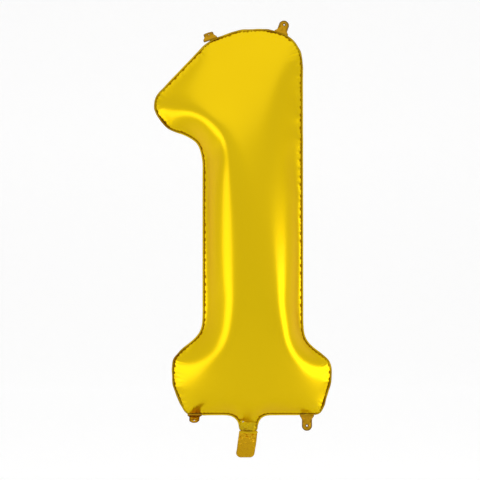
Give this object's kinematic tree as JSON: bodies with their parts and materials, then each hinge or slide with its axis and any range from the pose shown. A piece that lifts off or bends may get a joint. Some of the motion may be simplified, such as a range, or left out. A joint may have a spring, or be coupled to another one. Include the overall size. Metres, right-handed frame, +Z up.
{
  "type": "foil number balloon",
  "caption": "Inflated metallised-film figure one with a welded seam margin, punched hanging tabs, a folding filling tail and a self-sealing neck valve.",
  "frame": {"origin": "middle of the weld bar across the neck, where the ribbon is tied", "axes": "+Z up the figure, -Y out of the front face, +X to the viewer's right"},
  "size_m": [0.3513, 0.2062, 0.8622],
  "materials": {
    "gold_foil": "gloss",
    "gold_tab": "gloss",
    "gold_tail": "gloss",
    "clear_film": "gloss"
  },
  "bodies": {
    "envelope": {"front_panel": "gold_foil", "back_panel": "gold_foil"},
    "filling_tail": {"tail_front_film": "gold_tail", "tail_back_film": "gold_tail"},
    "tab_top_left": {"hang_tab_top_left": "gold_tab"},
    "tab_top_right": {"hang_tab_top_right": "gold_tab"},
    "tab_bottom_left": {"hang_tab_bottom_left": "gold_tab"},
    "tab_bottom_right": {"hang_tab_bottom_right": "gold_tab"},
    "valve_front": {"valve_front_film": "clear_film"},
    "valve_back": {"valve_back_film": "clear_film"}
  },
  "joints": [
    {"name": "tab_top_left_fold", "type": "hinge", "parent": "envelope", "child": "tab_top_left", "pos_m": [-0.07475, 0, 0.77586], "axis": [0.95, 0, 0.3123], "range_deg": [-27, 143], "stiffness_Nm_per_rad": 0.0002},
    {"name": "tab_top_right_fold", "type": "hinge", "parent": "envelope", "child": "tab_top_right", "pos_m": [0.06566, 0, 0.78686], "axis": [0.9455, 0, -0.3256], "range_deg": [-60, 110], "stiffness_Nm_per_rad": 0.0002},
    {"name": "tab_bottom_left_fold", "type": "hinge", "parent": "envelope", "child": "tab_bottom_left", "pos_m": [-0.105, 0, 0.0332], "axis": [-1, 0, 0], "range_deg": [-155, 15], "stiffness_Nm_per_rad": 0.0002},
    {"name": "tab_bottom_right_fold", "type": "hinge", "parent": "envelope", "child": "tab_bottom_right", "pos_m": [0.116, 0, 0.0332], "axis": [-1, 0, 0], "range_deg": [-85, 85], "stiffness_Nm_per_rad": 0.0002},
    {"name": "tail_fold", "type": "hinge", "parent": "envelope", "child": "filling_tail", "pos_m": [0, 0, 0], "axis": [1, 0, 0], "range_deg": [-90, 90], "stiffness_Nm_per_rad": 0.0003},
    {"name": "valve_front_lift", "type": "hinge", "parent": "envelope", "child": "valve_front", "pos_m": [0.00075, 0, 0.004], "axis": [1, 0, 0], "range_deg": [0, 6], "stiffness_Nm_per_rad": 0.0002},
    {"name": "valve_back_lift", "type": "hinge", "parent": "envelope", "child": "valve_back", "pos_m": [0.00075, 0, 0.004], "axis": [1, 0, 0], "range_deg": [-6, 0], "stiffness_Nm_per_rad": 0.0002}
  ],
  "couplings": [
    {"joint": "valve_back_lift", "follows": "valve_front_lift", "ratio": -1}
  ]
}
